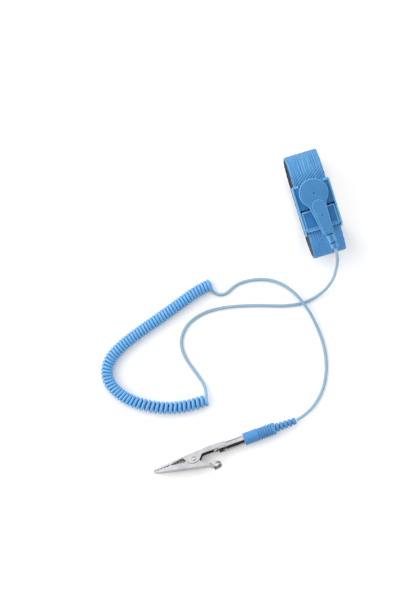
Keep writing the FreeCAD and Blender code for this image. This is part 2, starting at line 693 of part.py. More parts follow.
def clip_lower_jaw():
    """Lower jaw; its web runs on as a thumb lever and ends in the pad."""
    side = [(53.4, 1.05), (JAW_TIP_X, 0.5), (JAW_TIP_X, 0.06), (44.4, 0.06), (43.4, 0.35), (36.6, 1.75),
            (35.2, 0.6), (34.0, -0.3), (32.0, -1.1), (30.2, -1.2), (28.6, -0.6), (28.0, 0.6), (28.0, 2.2),
            (27.3, 3.9), (26.0, 5.5), (24.2, 6.9), (23.6, 8.12)]
    half = [(20.0, LOWER_HALF_WIDTH), (36.0, LOWER_HALF_WIDTH), (44.5, 2.2), (JAW_TIP_X, TIP_HALF_WIDTH)]
    web = [(53.9, 0.95 - SHEET), (24.4, 7.93 - SHEET), (20.0, 8.6 - SHEET)]
    inner_side = web + [(20.0, -9.0), (53.9, -9.0)]
    inner_half = [(20.0, LOWER_HALF_WIDTH - SHEET), (36.0, LOWER_HALF_WIDTH - SHEET), (44.5, 2.2 - SHEET),
                  (53.9, TIP_HALF_WIDTH - SHEET)]
    jaw = channel(side, mirrored(half), inner_side, mirrored(inner_half), 6)
    w = LOWER_HALF_WIDTH
    lever = prism([(27.5, 7.19 - SHEET, -w), (27.5, 7.19, -w), (23.4, 8.17, -w), (22.3, 8.26, -w),
                   (22.3, 8.26 - SHEET, -w), (23.4, 8.17 - SHEET, -w)], (0, 0, 2 * w))
    jaw = jaw.fuse(lever).fuse(thumb_pad())
    for notch in teeth(45.3, 4, 1):
        jaw = jaw.cut(notch)
    bore = RIVET_SHAFT_RADIUS + RING_CLEARANCE
    return in_plug(jaw.cut(rod(bore, (PIVOT_X, PIVOT_Y, -6), (PIVOT_X, PIVOT_Y, 6))), CLIP_ROLL)


def pivot_rivet():
    """Rivet through both jaws, with a low head on each side."""
    edge = EAR_HALF_WIDTH
    shaft = rod(RIVET_SHAFT_RADIUS, (PIVOT_X, PIVOT_Y, -edge), (PIVOT_X, PIVOT_Y, edge))
    for sign in (-1, 1):
        head = Part.makeCone(1.35, 0.9, 0.4, V(PIVOT_X, PIVOT_Y, sign * edge), V(0, 0, sign))
        shaft = shaft.fuse(head)
    return in_plug(shaft, CLIP_ROLL)


def clip_spring():
    """Torsion spring round the rivet: three close turns and two legs on the webs."""
    wire = 0.35
    turn = 1.35
    spring = None
    for i in (-1, 0, 1):
        ring = Part.makeTorus(turn, wire, V(PIVOT_X, PIVOT_Y, 0.62 * i))
        spring = ring if spring is None else spring.fuse(ring)
    upper_leg = rod(wire * 0.9, (PIVOT_X, PIVOT_Y - turn, 0.62), (PIVOT_X + 6.0, -0.95, 0.62))
    lower_leg = rod(wire * 0.9, (PIVOT_X, PIVOT_Y + turn, -0.62), (PIVOT_X + 6.0, 4.25, -0.62))
    return in_plug(spring.fuse(upper_leg).fuse(lower_leg), CLIP_ROLL)


# ---------------------------------------------------------------- cord

def cord_lead_snap():
    start = connector_point(TAIL_LENGTH + RELIEF_LENGTH, CORD_AXIS_Z)
    return tube("cord_lead_snap", [start] + LEAD_SNAP_ROUTE + [LEAD_SNAP_END], CORD_RADIUS)


def cord_coil():
    return tube("cord_coil", [(x, y, COIL_RADIUS) for x, y in COIL_ROUTE], COIL_RADIUS)


def cord_lead_clip():
    end = plug_point(-GRIP_LENGTH - PLUG_RELIEF_LENGTH)
    return tube("cord_lead_clip", [LEAD_CLIP_START] + LEAD_CLIP_ROUTE + [end], CORD_RADIUS)


def main():
    os.makedirs("parts", exist_ok=True)
    sub_parts = (
        elastic_band, conductive_lining, clasp_base, contact_plate, lever_pin, lock_lever,
        snap_stud, stud_rivet, socket_ring, snap_socket, terminal_tab,
        resistor_body, resistor_leads, conductor_ends, lead_crimp, connector_shell, snap_strain_relief,
        banana_pin, plug_crimp, plug_grip, plug_strain_relief, banana_spring,
        clip_upper_jaw, clip_lower_jaw, pivot_rivet, clip_spring,
        cord_lead_snap, cord_coil, cord_lead_clip,
    )
    for make in sub_parts:
        save(make.__name__, make())


main()
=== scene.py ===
import math

import bpy
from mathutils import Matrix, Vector


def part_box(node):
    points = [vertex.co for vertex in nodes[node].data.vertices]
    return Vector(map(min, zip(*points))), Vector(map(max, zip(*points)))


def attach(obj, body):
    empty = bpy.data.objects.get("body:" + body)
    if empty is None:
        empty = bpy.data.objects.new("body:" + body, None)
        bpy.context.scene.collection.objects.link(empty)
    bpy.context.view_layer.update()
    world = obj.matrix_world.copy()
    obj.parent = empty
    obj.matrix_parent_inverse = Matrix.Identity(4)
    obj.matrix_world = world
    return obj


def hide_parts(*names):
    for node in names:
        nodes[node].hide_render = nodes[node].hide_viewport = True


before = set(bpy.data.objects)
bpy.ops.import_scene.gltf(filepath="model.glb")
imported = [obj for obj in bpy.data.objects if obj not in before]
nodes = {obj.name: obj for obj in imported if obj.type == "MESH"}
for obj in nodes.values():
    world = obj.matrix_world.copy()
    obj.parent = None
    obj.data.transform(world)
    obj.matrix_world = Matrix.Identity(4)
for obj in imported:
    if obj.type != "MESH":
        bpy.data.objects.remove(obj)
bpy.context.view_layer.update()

# Metres, in the part's own frame: +Z up, +X along the wrist, the clasp on top of the band.

# Camera, straight above the object and far back, with the picture's right side towards +X and a little -Y
CAMERA_PLACE = (-0.0775, -0.0330, 1.755)
CAMERA_TURN = -17.0
CAMERA_LENS = 184.7

# Light: an even sky, a brighter wall low on the left, a dark card low on the near side, and one soft box
SKY_LIGHT = 1.30
WALL_LIGHT = 0.9
CARD_TURN = 18.0
CARD_DARKNESS = 0.94
LAMP_POWER = 1.3
LAMP_SIZE = (0.7, 0.5)
LAMP_AIM = (-0.07, -0.03, 0.0)
LAMP_DISTANCE = 0.9
FLOOR_REACH = 2.0
HIGH = Vector((0, 0, 1))

# Band: the CAD solid's outline, seen along the wrist
LOOP_TOP_RADIUS = 0.015
LOOP_FOOT_RADIUS = 0.021
FIXED_END_Y = 0.0006
FREE_END_Y = -0.0009
ARC_STEPS = 40
STATION_STEP = 0.0009
BAND_THICKNESS = 0.00160
BAND_WANDER = 0.00008
RIB_PITCH = 0.00135
RIB_HEIGHT = 0.00016
LINING_THICKNESS = 0.00042
LINING_WANDER = 0.00005
LINING_RIB_HEIGHT = 0.00004

# Knit pattern. Distances along the band are from its fixed end.
STITCH_PITCH = 0.0011
HATCH_PITCH = 0.00165
HATCH_SLOPE = 0.75
HATCH_END = 0.0200
STRETCH_START = 0.128
STRETCH_FADE = 0.012

# Cord
CORD_DIAMETER = 0.0018
CORD_EXIT = (0.00264, -0.02754, 0.0488)
PLUG_CORD_END = (-0.04534, -0.11456, 0.0037)

# Helix of the curly part, left-handed, round the coil's axis
COIL_AXIS_Z = 0.00365
LOOSE_RADIUS = 0.00284
TIGHT_RADIUS = 0.00274
POINTS_PER_TURN = 12
LOOSE_PITCH = 0.00259
TIGHT_PITCH = 0.00192
LOOSE_LENGTH = 0.042
LOOSE_FADE = 0.006
COIL_LEAD_IN = 0.0009
COIL_LEAD_OUT = 0.0009

# Linear colours
CORD_COLOUR = (0.085, 0.318, 0.640)
LEAD_COLOUR = (0.215, 0.345, 0.455)
CLASP_COLOUR = (0.030, 0.198, 0.485)
LEVER_COLOUR = (0.023, 0.172, 0.425)
CONNECTOR_COLOUR = (0.046, 0.176, 0.375)
GRIP_COLOUR = (0.068, 0.225, 0.485)
# Pale edges of the mouldings: partly wear, partly a painted highlight on rims and wall tops
WEAR_AND_HIGHLIGHT_EDGE_COLOUR = (0.16, 0.42, 0.70)
FLOOR_COLOURS = ((0.90, 0.90, 0.90), (0.92, 0.92, 0.92))
# face of the ribs, grooves between them darkened as painted shade, stretched streaks, and where the band is
# drawn out
BAND_COLOURS = ((0.084, 0.272, 0.495), (0.026, 0.128, 0.335), (0.155, 0.385, 0.64), (0.050, 0.250, 0.600))
LINING_COLOURS = ((0.060, 0.070, 0.085), (0.015, 0.018, 0.022), (0.16, 0.17, 0.18), (0.060, 0.070, 0.085))
LACQUER_COLOUR = (0.60, 0.44, 0.24)
# gold, green, black and brown rings, by how far along the resistor they are
RESISTOR_RINGS = (
    (0.14, (0.55, 0.36, 0.08)),
    (0.42, (0.02, 0.15, 0.03)),
    (0.62, (0.01, 0.01, 0.01)),
    (0.82, (0.10, 0.03, 0.01)),
)

# Heights between which the clasp's walls and the lever's rim turn paler, a painted highlight on their tops
WALL_TOP_HIGHLIGHT = (0.0443, 0.0449)
LEVER_RIM_HIGHLIGHT = (0.0443, 0.0446)

LEAD_SNAP_ROUTE = [
    (0.0025, -0.0321, 0.0488),
    (0.0011, -0.0366, 0.0456),
    (-0.0003, -0.0396, 0.0365),
    (-0.0015, -0.0425, 0.0250),
    (-0.0042, -0.0457, 0.0130),
    (-0.0082, -0.0486, 0.0042),
    (-0.0151, -0.0511, 0.0010),
    (-0.0232, -0.0521, 0.0010),
    (-0.0327, -0.0504, 0.0010),
    (-0.0437, -0.0466, 0.0010),
    (-0.0552, -0.0432, 0.0010),
    (-0.0672, -0.0407, 0.0010),
    (-0.0787, -0.0405, 0.0010),
    (-0.0894, -0.0444, 0.0010),
    (-0.0955, -0.0526, 0.0010),
    (-0.0953, -0.0621, 0.0010),
    (-0.0918, -0.0718, 0.0010),
    (-0.0892, -0.0795, 0.0012),
    (-0.0896, -0.0848, 0.0035),
]
COIL_ROUTE = [
    (-0.0894, -0.0885),
    (-0.1008, -0.0891),
    (-0.1138, -0.0866),
    (-0.1262, -0.0808),
    (-0.1362, -0.0726),
    (-0.1419, -0.0611),
    (-0.1378, -0.0507),
    (-0.1276, -0.0447),
    (-0.1148, -0.0401),
    (-0.1007, -0.0356),
    (-0.0865, -0.0307),
    (-0.0767, -0.0273),
    (-0.0684, -0.0262),
]
LEAD_CLIP_ROUTE = [
    (-0.0697, -0.0288, 0.0010),
    (-0.0682, -0.0321, 0.0010),
    (-0.0652, -0.0339, 0.0010),
    (-0.0616, -0.0339, 0.0010),
    (-0.0567, -0.0310, 0.0010),
    (-0.0502, -0.0301, 0.0010),
    (-0.0407, -0.0316, 0.0010),
    (-0.0324, -0.0357, 0.0016),
    (-0.0255, -0.0433, 0.0036),
    (-0.0205, -0.0546, 0.0036),
    (-0.0180, -0.0667, 0.0016),
    (-0.0174, -0.0796, 0.0010),
    (-0.0199, -0.0918, 0.0010),
    (-0.0251, -0.1022, 0.0010),
    (-0.0324, -0.1093, 0.0013),
    (-0.0397, -0.1132, 0.0036),
]


# ---------------------------------------------------------------- curves and meshes

def spline_curve(name, points, bevel=0.0, resolution=4):
    """One open NURBS spline of order 3 that starts and ends at its end points."""
    data = bpy.data.curves.new(name, "CURVE")
    data.dimensions = "3D"
    data.resolution_u = resolution
    data.bevel_depth = bevel
    data.bevel_resolution = 4
    data.use_fill_caps = True
    spline = data.splines.new("NURBS")
    spline.points.add(len(points) - 1)
    for point, place in zip(spline.points, points):
        point.co = (*place, 1.0)
    spline.order_u = 3
    spline.use_endpoint_u = True
    made = bpy.data.objects.new(name, data)
    bpy.context.scene.collection.objects.link(made)
    return made


def points_along(route):
    """The smooth line of a route, as Blender draws it."""
    guide = spline_curve("guide", route, resolution=32)
    bpy.context.view_layer.update()
    mesh = bpy.data.meshes.new_from_object(guide.evaluated_get(bpy.context.evaluated_depsgraph_get()))
    line = [v.co.copy() for v in mesh.vertices]
    bpy.data.objects.remove(guide)
    bpy.data.meshes.remove(mesh)
    return line


def lengths_of(line):
    """How far each point of a line is along it."""
    total = [0.0]
    for a, b in zip(line, line[1:]):
        total.append(total[-1] + (b - a).length)
    return total


def looseness(far):
    """1 where the helix has been pulled open, at its start, and 0 where its turns nearly touch."""
    return min(1.0, max(0.0, (LOOSE_LENGTH + LOOSE_FADE - far) / (2 * LOOSE_FADE)))


def turns_along(lengths):
    """How many turns of the helix lie before each point of its axis."""
    turns = [0.0]
    for before, far in zip(lengths, lengths[1:]):
        pitch = TIGHT_PITCH + (LOOSE_PITCH - TIGHT_PITCH) * looseness(far)
        unevenness = 0.015 * math.sin(far * 900) * math.sin(far * 370)
        pitch *= 1.01 + unevenness
        turns.append(turns[-1] + (far - before) / pitch)
    return turns


def helix_points():
    """Control points of the curly part, from the top of its lower end to the underside of its upper end."""
    line = points_along([(x, y, COIL_AXIS_Z) for x, y in COIL_ROUTE])
    lengths = lengths_of(line)
    line = [p for p, far in zip(line, lengths) if COIL_LEAD_IN <= far <= lengths[-1] - COIL_LEAD_OUT]
    lengths = lengths_of(line)
    turns = turns_along(lengths)
    whole = math.floor(turns[-1]) + 0.5
    made = []
    i = 1
    for step in range(round(whole * POINTS_PER_TURN) + 1):
        angle = 2 * math.pi * step / POINTS_PER_TURN
        turn = step / POINTS_PER_TURN * turns[-1] / whole
        while i < len(line) - 1 and turns[i] < turn:
            i += 1
        along = line[i] - line[i - 1]
        centre = line[i - 1] + along * (turn - turns[i - 1]) / (turns[i] - turns[i - 1])
        left = Vector((-along.y, along.x, 0)).normalized()
        around = Vector((0, 0, 1)) * math.cos(angle) + left * math.sin(angle)
        radius = TIGHT_RADIUS + (LOOSE_RADIUS - TIGHT_RADIUS) * looseness(lengths[i])
        made.append(tuple(centre + around * radius))
    return made


def loop_outline(inset, half, low, high):
    """(y, z, outward y, outward z) round the band, from its fixed end to its free end."""
    top = LOOP_TOP_RADIUS
    foot = LOOP_FOOT_RADIUS
    corners = [
        (half - top, high - top, top, 90, 0),
        (half - foot, low + foot, foot, 0, -90),
        (foot - half, low + foot, foot, -90, -180),
        (top - half, high - top, top, 180, 90),
    ]
    outline = [(FIXED_END_Y, high - inset, 0.0, 1.0)]
    for centre_y, centre_z, radius, start, end in corners:
        for i in range(ARC_STEPS + 1):
            angle = math.radians(start + (end - start) * i / ARC_STEPS)
            out_y, out_z = math.cos(angle), math.sin(angle)
            reach = radius - inset
            outline.append((centre_y + reach * out_y, centre_z + reach * out_z, out_y, out_z))
    outline.append((FREE_END_Y, high - inset, 0.0, 1.0))
    return outline


def spaced(outline, step):
    """The same outline at even distances."""
    line = [Vector((0, y, z)) for y, z, _, _ in outline]
    outward = [Vector((0, a, b)) for _, _, a, b in outline]
    lengths = lengths_of(line)
    count = round(lengths[-1] / step)
    made = []
    i = 1
    for k in range(count + 1):
        distance = lengths[-1] * k / count
        while i < len(line) - 1 and lengths[i] < distance:
            i += 1
        gap = lengths[i] - lengths[i - 1]
        share = (distance - lengths[i - 1]) / gap if gap > 0 else 0.0
        place = line[i - 1].lerp(line[i], share)
        made.append((distance, place, outward[i - 1].lerp(outward[i], share).normalized()))
    return made


def strap_profile(half_width, thickness, rib_pitch, rib_height):
    """(x, depth) round the section of a ribbed strap, from one edge over the outside and back."""
    edge = thickness * 0.42
    count = max(1, round(2 * (half_width - edge) / rib_pitch))
    per_rib = 6
    outer = []
    for i in range(count * per_rib + 1):
        x = -half_width + edge + 2 * (half_width - edge) * i / (count * per_rib)
        groove = 0.5 + 0.5 * math.cos(2 * math.pi * i / per_rib)
        outer.append((x, rib_height * groove ** 2))
    right = []
    for i in range(1, 6):
        angle = math.pi * i / 6
        depth = thickness / 2 - (thickness / 2 - rib_height) * math.cos(angle)
        right.append((half_width - edge + edge * math.sin(angle), depth))
    inner = [(x, thickness - rib_height * 0.4) for x, _ in reversed(outer[::3])]
    left = [(-x, depth) for x, depth in reversed(right)]
    return outer + right + inner + left


def strap(name, node, thickness, rib_pitch, rib_height, wander):
    """A knitted strap round the loop of a CAD solid, with ribs along it and slightly uneven edges."""
    low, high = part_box(node)
    middle = (low.x + high.x) / 2
    profile = strap_profile((high.x - low.x) / 2, thickness, rib_pitch, rib_height)
    outline = loop_outline(0.0, high.y, low.z, high.z)
    stations = spaced(outline, STATION_STEP)
    verts, weave = [], []
    for distance, place, outward in stations:
        ripple = wander * math.sin(2 * math.pi * distance / (4 * STITCH_PITCH))
        for x, depth in profile:
            side = x + ripple * (abs(x) / high.x) ** 6 * (1 if x > 0 else -1)
            spot = place - outward * depth
            verts.append((middle + side, spot.y, spot.z))
            weave.append((distance, x))
    ring = len(profile)
    faces = []
    for k in range(len(stations) - 1):
        for i in range(ring):
            j = (i + 1) % ring
            faces.append((k * ring + i, (k + 1) * ring + i, (k + 1) * ring + j, k * ring + j))
    faces.append(tuple(range(ring)))
    faces.append(tuple(reversed(range((len(stations) - 1) * ring, len(stations) * ring))))
    mesh = bpy.data.meshes.new(name)
    mesh.from_pydata(verts, [], faces)
    mesh.update()
    layer = mesh.uv_layers.new(name="weave")
    for loop in mesh.loops:
        layer.data[loop.index].uv = weave[loop.vertex_index]
    mesh.shade_smooth()
    made = bpy.data.objects.new(name, mesh)
    bpy.context.scene.collection.objects.link(made)
    return made


# ---------------------------------------------------------------- materials

def add(tree, kind, inputs=None, **settings):
    """One shader node. An input is a number, a colour or another node's output."""
    made = tree.nodes.new(kind)
    for key, value in settings.items():
        setattr(made, key, value)
    for key, value in (inputs or {}).items():
        if isinstance(value, bpy.types.NodeSocket):
            tree.links.new(value, made.inputs[key])
        else:
            made.inputs[key].default_value = value
    return made


def maths(tree, operation, a, b=0.0):
    return add(tree, "ShaderNodeMath", {0: a, 1: b}, operation=operation).outputs[0]


def rgb(colour):
    """A linear colour as a shader socket wants it."""
    return (*colour, 1.0)


def scaled(colour, factor):
    return tuple(min(1.0, c * factor) for c in colour)


def mix(tree, factor, a, b):
    made = tree.nodes.new("ShaderNodeMix")
    made.data_type = "RGBA"
    for key, value in (("Factor", factor), ("A", a), ("B", b)):
        socket = next(s for s in made.inputs if s.name == key and s.enabled)
        if isinstance(value, bpy.types.NodeSocket):
            tree.links.new(value, socket)
        else:
            socket.default_value = value
    return next(s for s in made.outputs if s.enabled)


def ramp(tree, value, low, high, out_low=0.0, out_high=1.0):
    """A value taken from one range to another and held inside it."""
    inputs = {"Value": value, "From Min": low, "From Max": high, "To Min": out_low, "To Max": out_high}
    return add(tree, "ShaderNodeMapRange", inputs).outputs[0]


def noise(tree, place, scale, detail=3.0, roughness=0.55):
    inputs = {"Vector": place, "Scale": scale, "Detail": detail, "Roughness": roughness}
    return add(tree, "ShaderNodeTexNoise", inputs).outputs[0]


def start_material(name):
    made = bpy.data.materials.new(name)
    made.use_nodes = True
    tree = made.node_tree
    shader = tree.nodes["Principled BSDF"]
    place = add(tree, "ShaderNodeTexCoord").outputs["Object"]
    return made, tree, shader, place


def edge_mask(tree, radius, low, high):
    """1 along the edges of a moulding, 0 on its faces, and the rounded normal."""
    bevel = add(tree, "ShaderNodeBevel", {"Radius": radius}, samples=6).outputs[0]
    flat = add(tree, "ShaderNodeNewGeometry").outputs["Normal"]
    same = add(tree, "ShaderNodeVectorMath", {0: bevel, 1: flat}, operation="DOT_PRODUCT").outputs["Value"]
    return ramp(tree, maths(tree, "SUBTRACT", 1.0, same), low, high), bevel


def recess_mask(tree, reach):
    """1 on open faces and 0 far down in slits and grooves; the materials darken by it as painted shade."""
    made = add(tree, "ShaderNodeAmbientOcclusion", {"Distance": reach}, samples=8, only_local=True)
    return made.outputs["AO"]


def rim_mask(tree):
    """1 on the rounded rims of a part that lies flat, 0 on its top and its sides; what it marks takes a
    painted highlight.
    """
    world = add(tree, "ShaderNodeNewGeometry").outputs["Normal"]
    own = add(tree, "ShaderNodeVectorTransform", {0: world}, vector_type="NORMAL",
              convert_from="WORLD", convert_to="OBJECT").outputs[0]
    upward = add(tree, "ShaderNodeSeparateXYZ", {0: own}).outputs[2]
    return maths(tree, "MULTIPLY", ramp(tree, upward, 0.05, 0.4), ramp(tree, upward, 0.8, 0.97, 1.0, 0.0))


def moulded(name, colour, roughness, grain, edge_radius, rims=0.0, raised=None):
    """Injection-moulded plastic: pale edges, partly wear and partly painted highlight, painted shade in
    slits, fine grain, flow marks and handling gloss.

    rims is how strongly rounded rims turn pale, a painted highlight, and raised the heights between which
    tops do, another painted highlight.
    """
    made, tree, shader, place = start_material(name)
    edges, rounded = edge_mask(tree, edge_radius, 0.01, 0.16)
    flow = noise(tree, place, 90.0, 4.0)
    fine = noise(tree, place, grain, 2.0, 0.6)
    body = mix(tree, ramp(tree, flow, 0.35, 0.65), rgb(scaled(colour, 0.9)), rgb(scaled(colour, 1.1)))
    # Rims and raised tops join the edges here: a painted highlight where light catches them
    edges = maths(tree, "MAXIMUM", edges, maths(tree, "MULTIPLY", rim_mask(tree), rims))
    if raised:
        height = add(tree, "ShaderNodeSeparateXYZ", {0: place}).outputs[2]
        edges = maths(tree, "MAXIMUM", edges, ramp(tree, height, *raised, 0.0, 0.8))
    # Pale edges broken up by noise: partly wear, partly painted highlight
    tinted = maths(tree, "MULTIPLY", edges, ramp(tree, noise(tree, place, 600.0), 0.3, 0.6, 0.6, 1.0))
    body = mix(tree, tinted, body, rgb(WEAR_AND_HIGHLIGHT_EDGE_COLOUR))
    # Slits and grooves darken towards a near-black copy of the colour: painted shade
    painted_shade = ramp(tree, recess_mask(tree, 0.0014), 0.22, 0.68, 0.92, 0.0)
    body = mix(tree, painted_shade, body, rgb(scaled(colour, 0.16)))
    tree.links.new(body, shader.inputs["Base Color"])
    rough = ramp(tree, noise(tree, place, 220.0), 0.3, 0.7, roughness - 0.06, roughness + 0.08)
    tree.links.new(rough, shader.inputs["Roughness"])
    shader.inputs["Specular IOR Level"].default_value = 0.22
    bump = add(tree, "ShaderNodeBump",
               {"Strength": 0.35, "Distance": 0.00003, "Height": fine, "Normal": rounded})
    tree.links.new(bump.outputs[0], shader.inputs["Normal"])
    return made


def metal(name, colour, roughness, brushed=0.0, stain=(0.5, 0.5, 0.5)):
    """Plated or brushed metal: soft scratches, smudges, a painted highlight along its edges, and painted
    shade in its low places.
    """
    made, tree, shader, place = start_material(name)
    shader.inputs["Metallic"].default_value = 1.0
    drawn = {"Vector": place, "Scale": (1.0, 1.0 - brushed, 1.0)}
    lines = noise(tree, add(tree, "ShaderNodeMapping", drawn).outputs[0], 1800.0, 3.0, 0.7)
    smudge = noise(tree, place, 160.0, 4.0)
    edges, rounded = edge_mask(tree, 0.00016, 0.01, 0.2)
    stained = [a * b for a, b in zip(colour, stain)]
    base = mix(tree, ramp(tree, smudge, 0.35, 0.75), rgb(colour), rgb(stained))
    # Edges lighter than the faces: a painted highlight
    base = mix(tree, edges, base, rgb(scaled(colour, 1.25)))
    # Crevices darken towards black: painted shade
    painted_shade = ramp(tree, recess_mask(tree, 0.0016), 0.2, 0.75, 0.9, 0.0)
    tree.links.new(mix(tree, painted_shade, base, rgb(scaled(colour, 0.08))), shader.inputs["Base Color"])
    rough = ramp(tree, lines, 0.3, 0.7, roughness * 0.75, roughness * 1.4)
    tree.links.new(rough, shader.inputs["Roughness"])
    bump = add(tree, "ShaderNodeBump",
               {"Strength": 0.25, "Distance": 0.00001, "Height": lines, "Normal": rounded})
    tree.links.new(bump.outputs[0], shader.inputs["Normal"])
    return made


def knit(name, colours, rib_pitch, stitch_pitch, depth, sheen, hatch_end, stretch_start):
    """Ribbed elastic knit: a bold slanting hatch up to hatch_end, drawn out from stretch_start on."""
    colour, groove_shade_colour, light_colour, drawn_colour = colours
    made, tree, shader, place = start_material(name)
    weave = add(tree, "ShaderNodeUVMap", uv_map="weave").outputs[0]
    split = add(tree, "ShaderNodeSeparateXYZ", {0: weave})
    along, across = split.outputs[0], split.outputs[1]
    rib = maths(tree, "MULTIPLY", across, 1 / rib_pitch)
    beside = maths(tree, "PINGPONG", rib, 0.5)
    row = maths(tree, "ADD", maths(tree, "MULTIPLY", along, 1 / stitch_pitch), beside)
    stitch = maths(tree, "SINE", maths(tree, "MULTIPLY", row, 2 * math.pi))
    ridge = maths(tree, "COSINE", maths(tree, "MULTIPLY", rib, 2 * math.pi))
    fuzz = noise(tree, place, 9000.0, 2.0, 0.7)
    slant = maths(tree, "SUBTRACT", along, maths(tree, "MULTIPLY", across, HATCH_SLOPE))
    hatch = maths(tree, "SINE", maths(tree, "MULTIPLY", slant, 2 * math.pi / HATCH_PITCH))
    hatched = ramp(tree, along, hatch_end - 0.005, hatch_end, 1.0, 0.0)
    ribbed = maths(tree, "SUBTRACT", maths(tree, "MULTIPLY", stitch, 0.4),
                   maths(tree, "MULTIPLY", ridge, 0.6))
    pattern = add(tree, "ShaderNodeMix", {"Factor": hatched, "A": ribbed, "B": hatch}).outputs[0]
    height = maths(tree, "ADD", pattern, maths(tree, "MULTIPLY", fuzz, 0.3))
    # Low parts of the knit take the groove colour, a painted shade, and high parts take the face colour
    shade = ramp(tree, height, -0.8, 1.0)
    body = mix(tree, shade, rgb(groove_shade_colour), rgb(colour))
    streaks = add(tree, "ShaderNodeMapping", {"Vector": weave, "Scale": (60.0, 1400.0, 1.0)}).outputs[0]
    streak = noise(tree, streaks, 1.0, 2.0)
    tinted = mix(tree, ramp(tree, streak, 0.45, 0.75, 0.0, 0.65), body, rgb(light_colour))
    drawn_out = ramp(tree, along, stretch_start, stretch_start + STRETCH_FADE, 0.0, 0.7)
    thin = ramp(tree, along, stretch_start + STRETCH_FADE, stretch_start + 2 * STRETCH_FADE, 0.0, 0.25)
    tinted = mix(tree, drawn_out, tinted, rgb(drawn_colour))
    tinted = mix(tree, thin, tinted, rgb(light_colour))
    tree.links.new(tinted, shader.inputs["Base Color"])
    shader.inputs["Roughness"].default_value = 0.82
    shader.inputs["Sheen Weight"].default_value = sheen
    shader.inputs["Sheen Roughness"].default_value = 0.4
    shader.inputs["Specular IOR Level"].default_value = 0.25
    bump = add(tree, "ShaderNodeBump", {"Strength": 0.8, "Distance": depth, "Height": height})
    tree.links.new(bump.outputs[0], shader.inputs["Normal"])
    return made


def jacket(name, colour, lead_colour, coil_start, coil_end, roughness):
    """Smooth polyurethane, deeper in colour on the curly stretch than on the leads."""
    made, tree, shader, place = start_material(name)
    uv = add(tree, "ShaderNodeUVMap", uv_map="UVMap").outputs[0]
    along = add(tree, "ShaderNodeSeparateXYZ", {0: uv}).outputs[0]
    fade = 0.003
    begun = ramp(tree, along, coil_start - fade, coil_start + fade)
    left = ramp(tree, along, coil_end - fade, coil_end + fade, 1.0, 0.0)
    body = mix(tree, maths(tree, "MULTIPLY", begun, left), rgb(lead_colour), rgb(colour))
    cloud = ramp(tree, noise(tree, place, 140.0, 3.0), 0.35, 0.7, 0.0, 0.25)
    tree.links.new(mix(tree, cloud, body, rgb(lead_colour)), shader.inputs["Base Color"])
    rough = ramp(tree, noise(tree, place, 700.0), 0.3, 0.7, roughness - 0.05, roughness + 0.08)
    tree.links.new(rough, shader.inputs["Roughness"])
    fine = noise(tree, place, 2500.0, 2.0)
    bump = add(tree, "ShaderNodeBump", {"Strength": 0.2, "Distance": 0.00002, "Height": fine})
    tree.links.new(bump.outputs[0], shader.inputs["Normal"])
    shader.inputs["Coat Weight"].default_value = 0.15
    shader.inputs["Coat Roughness"].default_value = 0.25
    return made


def lacquer(name, colour, rings):
    """Resistor body with painted colour bands along the tail."""
    made, tree, shader, place = start_material(name)
    low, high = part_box("resistor_body")
    split = add(tree, "ShaderNodeSeparateXYZ", {0: place})
    share = ramp(tree, split.outputs[1], low.y, high.y)
    body = mix(tree, noise(tree, place, 800.0), rgb(scaled(colour, 0.9)), rgb(colour))
    for middle, paint in rings:
        inside = maths(tree, "COMPARE", share, middle)
        inside.node.inputs[2].default_value = 0.05
        body = mix(tree, inside, body, rgb(paint))
    tree.links.new(body, shader.inputs["Base Color"])
    shader.inputs["Roughness"].default_value = 0.3
    shader.inputs["Coat Weight"].default_value = 0.4
    return made


def pale_floor():
    made, tree, shader, place = start_material("pale_floor")
    cloud = noise(tree, place, 3.0, 2.0)
    darker, lighter = FLOOR_COLOURS
    tree.links.new(mix(tree, cloud, rgb(darker), rgb(lighter)), shader.inputs["Base Color"])
    shader.inputs["Roughness"].default_value = 0.9
    shader.inputs["Specular IOR Level"].default_value = 0.1
    return made


# ---------------------------------------------------------------- pieces

def dress(material, *names):
    """Give CAD nodes a material."""
    for name in names:
        data = nodes[name].data
        data.materials.clear()
        data.materials.append(material)


def make_cord():
    helix = helix_points()
    points = [CORD_EXIT] + LEAD_SNAP_ROUTE + helix + LEAD_CLIP_ROUTE + [PLUG_CORD_END]
    cord = spline_curve("cord", points, CORD_DIAMETER / 2)
    coil_start = (1 + len(LEAD_SNAP_ROUTE)) / len(points)
    coil_end = coil_start + len(helix) / len(points)
    cord.data.materials.append(jacket("cord_jacket", CORD_COLOUR, LEAD_COLOUR, coil_start, coil_end, 0.34))
    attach(cord, "connector")
    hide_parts("cord_lead_snap", "cord_coil", "cord_lead_clip")


def make_strap(name, node, material, thickness, rib_pitch, rib_height, wander):
    made = strap(name, node, thickness, rib_pitch, rib_height, wander)
    made.data.materials.append(material)
    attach(made, "wristband")
    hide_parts(node)


def make_straps():
    elastic = knit("knit_elastic", BAND_COLOURS, RIB_PITCH, STITCH_PITCH, 0.00016, 0.12,
                   HATCH_END, STRETCH_START)
    make_strap("knit_band", "elastic_band", elastic,
               BAND_THICKNESS, RIB_PITCH, RIB_HEIGHT, BAND_WANDER)
    past_its_end = 1.0
    silver = knit("silver_knit", LINING_COLOURS, RIB_PITCH / 2, STITCH_PITCH / 2, 0.00006, 0.1,
                  0.0, past_its_end)
    make_strap("knit_lining", "conductive_lining", silver,
               LINING_THICKNESS, RIB_PITCH / 2, LINING_RIB_HEIGHT, LINING_WANDER)


